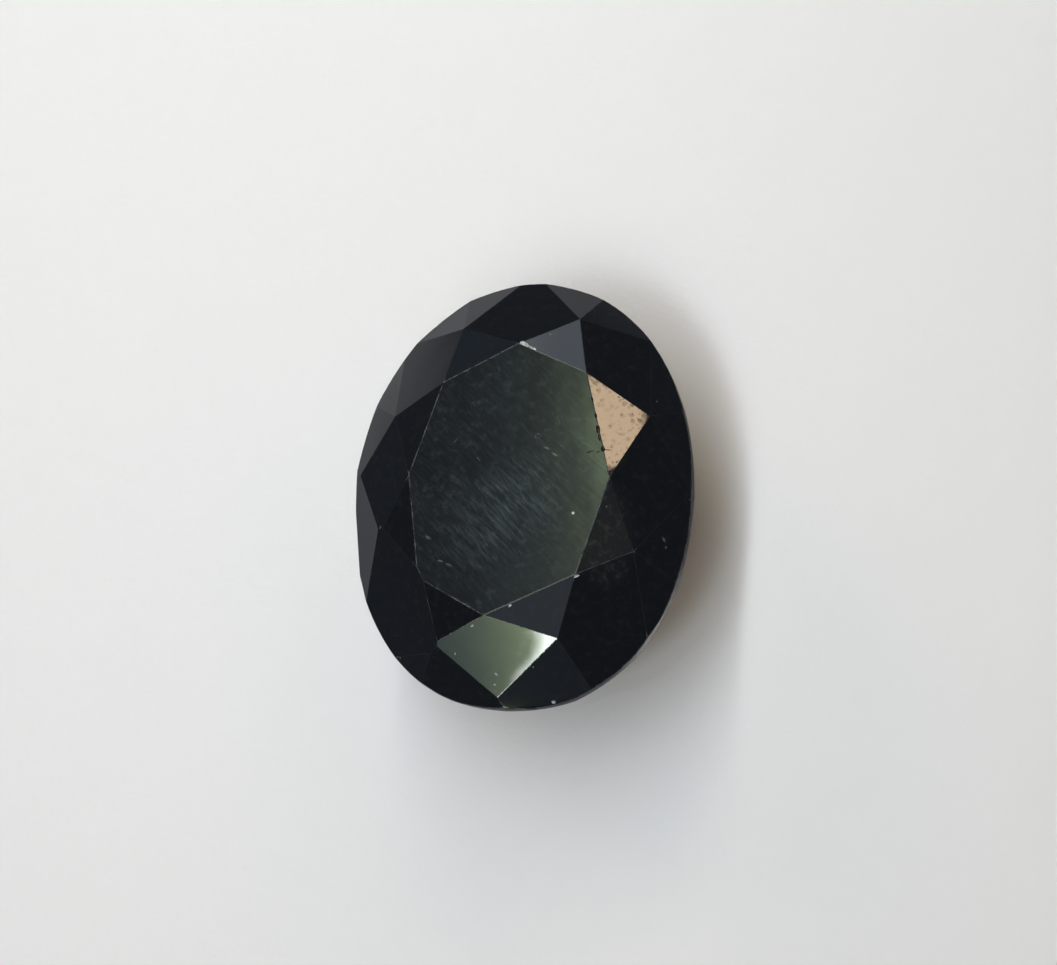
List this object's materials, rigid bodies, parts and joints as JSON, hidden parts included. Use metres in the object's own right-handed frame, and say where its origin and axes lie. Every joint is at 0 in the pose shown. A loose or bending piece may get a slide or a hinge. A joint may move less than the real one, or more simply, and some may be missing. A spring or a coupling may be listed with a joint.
{
  "type": "faceted black tourmaline",
  "caption": "Loose oval black tourmaline with a brilliant-cut crown, a thin frosted girdle and a pavilion ground flat underneath so that it stands level.",
  "frame": {"origin": "bottom centre of the bounding box, on the plane of the flat that the stone stands on", "axes": "+X along the stone's short axis, +Y along its long axis, +Z along the table's normal, up"},
  "size_m": [0.011, 0.014, 0.0061],
  "materials": {
    "tourmaline": "opaque black, polished to a high gloss on the crown, the table hazed by fine polishing streaks, the girdle frosted"
  },
  "bodies": {
    "root": {"stone": "tourmaline"}
  },
  "joints": []
}
